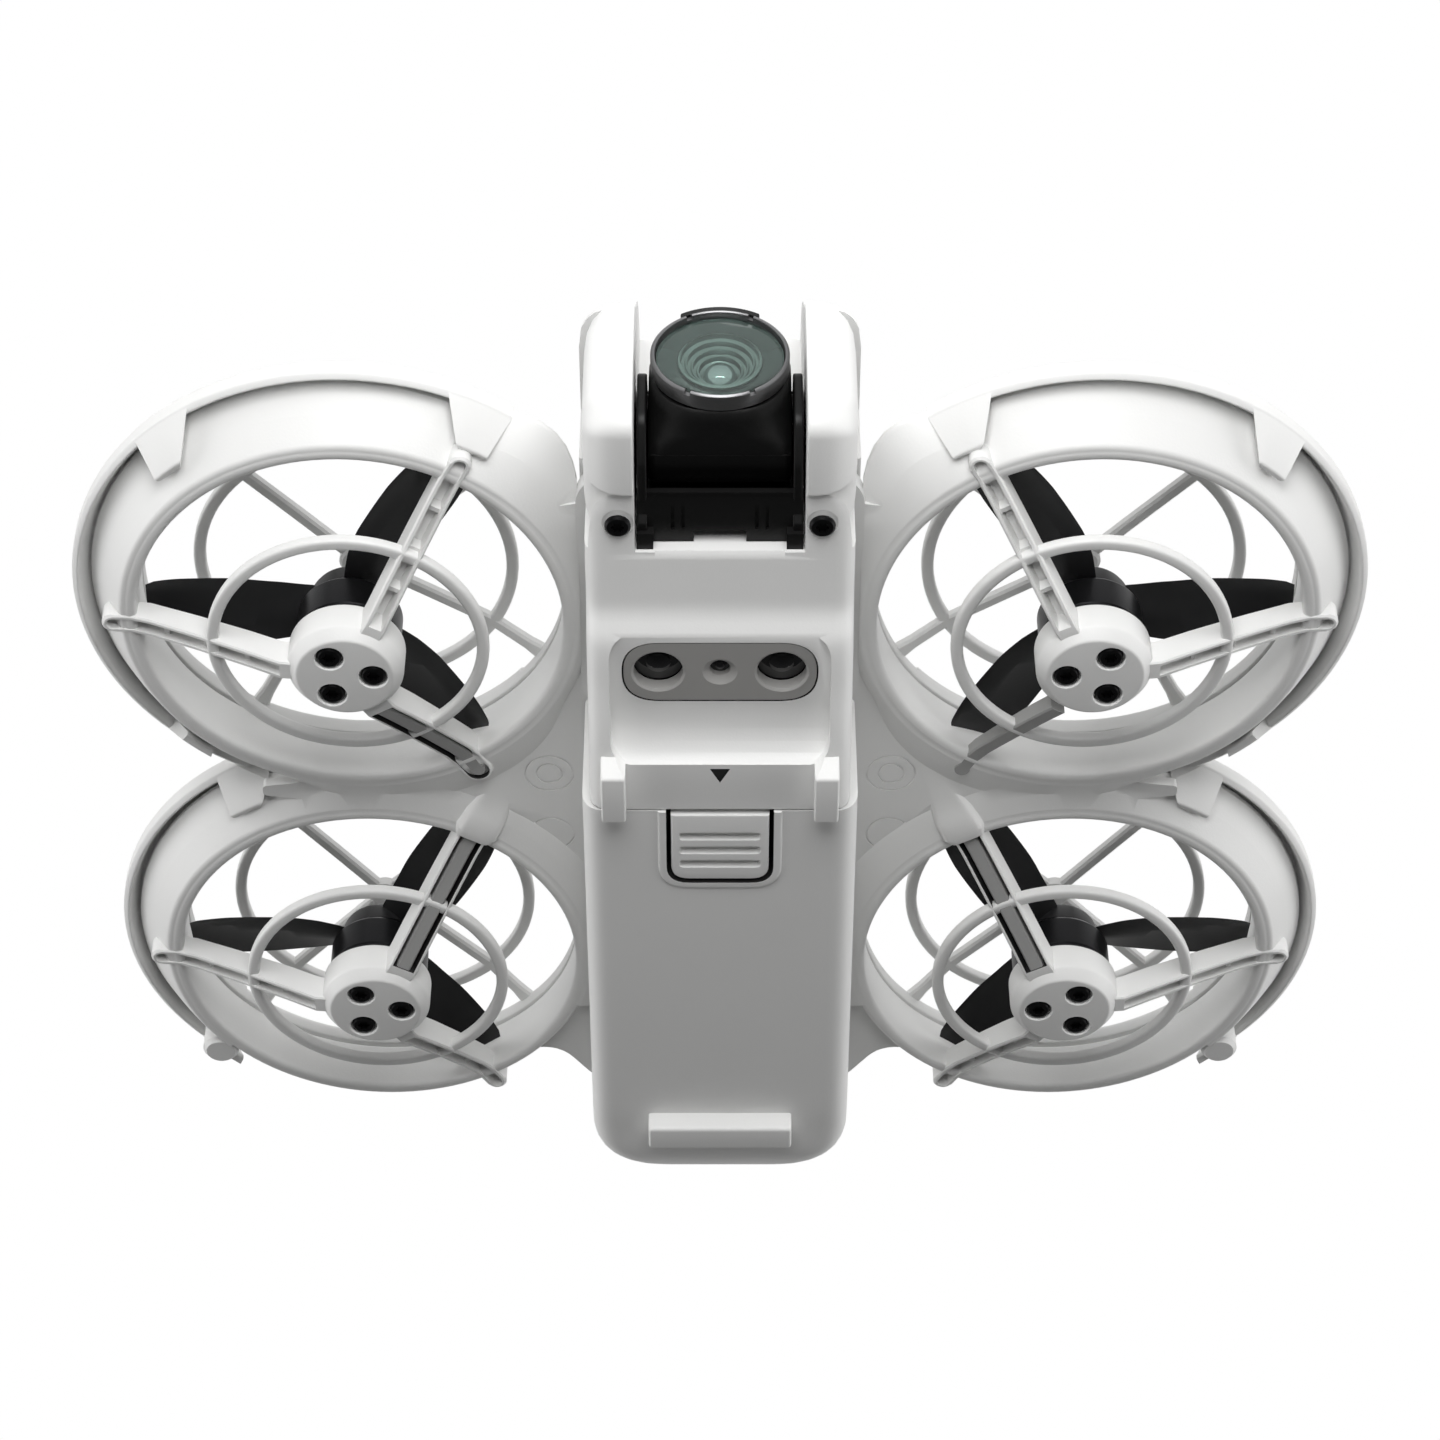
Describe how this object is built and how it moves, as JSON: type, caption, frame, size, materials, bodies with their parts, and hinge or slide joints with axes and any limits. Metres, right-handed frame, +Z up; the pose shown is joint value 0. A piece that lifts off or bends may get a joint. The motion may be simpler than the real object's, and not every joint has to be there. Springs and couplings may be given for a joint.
{
  "type": "quadcopter drone",
  "caption": "Palm-size ducted quadcopter with shrouded rotors, a tilting nose camera and a slide-out rear battery.",
  "frame": {"origin": "on the ground, under the middle of the craft", "axes": "front faces -Y, +X is the craft's left-to-right width seen from below and in front, +Z up"},
  "size_m": [0.157, 0.13, 0.0485],
  "materials": {
    "white_shell": "fine satin moulded plastic",
    "black_plastic": "matte moulded plastic",
    "propeller": "matte, faintly grained",
    "motor_bell": "black anodised, satin",
    "motor_winding": "enamelled copper",
    "screw": "black zinc",
    "circuit_board": "solder mask",
    "lens_ring": "satin with a bright edge",
    "lens_glass": "coated optical glass",
    "sensor_lens": "polished dark cap",
    "cell_foil": "laminated foil"
  },
  "bodies": {
    "airframe": {"duct_front_left": "white_shell", "guard_front_left": "white_shell", "motor_stator_front_left": "motor_winding", "motor_screw_front_left_1": "screw", "motor_screw_front_left_2": "screw", "motor_screw_front_left_3": "screw", "duct_front_right": "white_shell", "guard_front_right": "white_shell", "motor_stator_front_right": "motor_winding", "motor_screw_front_right_1": "screw", "motor_screw_front_right_2": "screw", "motor_screw_front_right_3": "screw", "duct_rear_left": "white_shell", "guard_rear_left": "white_shell", "motor_stator_rear_left": "motor_winding", "motor_screw_rear_left_1": "screw", "motor_screw_rear_left_2": "screw", "motor_screw_rear_left_3": "screw", "duct_rear_right": "white_shell", "guard_rear_right": "white_shell", "motor_stator_rear_right": "motor_winding", "motor_screw_rear_right_1": "screw", "motor_screw_rear_right_2": "screw", "motor_screw_rear_right_3": "screw", "spine_plate": "white_shell", "top_shell": "white_shell", "cheek_left": "white_shell", "cheek_right": "white_shell", "belly_cover": "white_shell", "sensor_window": "white_shell", "camera_bracket_left": "black_plastic", "camera_bracket_right": "black_plastic", "main_board": "circuit_board", "sensor_board": "circuit_board", "tilt_motor": "motor_bell", "range_sensor_left": "sensor_lens", "range_sensor_right": "sensor_lens", "downward_camera": "sensor_lens", "cover_screw_left": "screw", "cover_screw_right": "screw"},
    "camera": {"camera_housing": "black_plastic", "lens_ring": "lens_ring", "lens_glass": "lens_glass"},
    "battery": {"battery_case": "white_shell", "battery_cells": "cell_foil", "battery_connector": "black_plastic"},
    "latch": {"battery_latch": "white_shell"},
    "power_key": {"power_button": "white_shell"},
    "mode_key": {"mode_button": "white_shell"},
    "rotor_front_left": {"motor_bell_front_left": "motor_bell", "propeller_front_left": "propeller"},
    "rotor_front_right": {"motor_bell_front_right": "motor_bell", "propeller_front_right": "propeller"},
    "rotor_rear_left": {"motor_bell_rear_left": "motor_bell", "propeller_rear_left": "propeller"},
    "rotor_rear_right": {"motor_bell_rear_right": "motor_bell", "propeller_rear_right": "propeller"}
  },
  "joints": [
    {"name": "spin_front_left", "type": "hinge", "parent": "airframe", "child": "rotor_front_left", "pos_m": [-0.0445, -0.0213, 0.025], "axis": [0, 0, 1], "continuous": true},
    {"name": "spin_front_right", "type": "hinge", "parent": "airframe", "child": "rotor_front_right", "pos_m": [0.0445, -0.0213, 0.025], "axis": [0, 0, 1], "continuous": true},
    {"name": "spin_rear_left", "type": "hinge", "parent": "airframe", "child": "rotor_rear_left", "pos_m": [-0.0445, 0.038, 0.025], "axis": [0, 0, 1], "continuous": true},
    {"name": "spin_rear_right", "type": "hinge", "parent": "airframe", "child": "rotor_rear_right", "pos_m": [0.0445, 0.038, 0.025], "axis": [0, 0, 1], "continuous": true},
    {"name": "camera_tilt", "type": "hinge", "parent": "airframe", "child": "camera", "pos_m": [0, -0.0551, 0.021], "axis": [1, 0, 0], "range_deg": [-60, 90]},
    {"name": "battery_slide", "type": "slide", "parent": "airframe", "child": "battery", "axis": [0, 1, 0], "range_m": [0, 0.075]},
    {"name": "latch_press", "type": "slide", "parent": "battery", "child": "latch", "axis": [0, 0, 1], "range_m": [0, 0.001], "stiffness_N_per_m": 400},
    {"name": "power_press", "type": "slide", "parent": "airframe", "child": "power_key", "axis": [0, 0, -1], "range_m": [0, 0.0006], "stiffness_N_per_m": 300},
    {"name": "mode_press", "type": "slide", "parent": "airframe", "child": "mode_key", "axis": [0, 0, -1], "range_m": [0, 0.0006], "stiffness_N_per_m": 300}
  ]
}
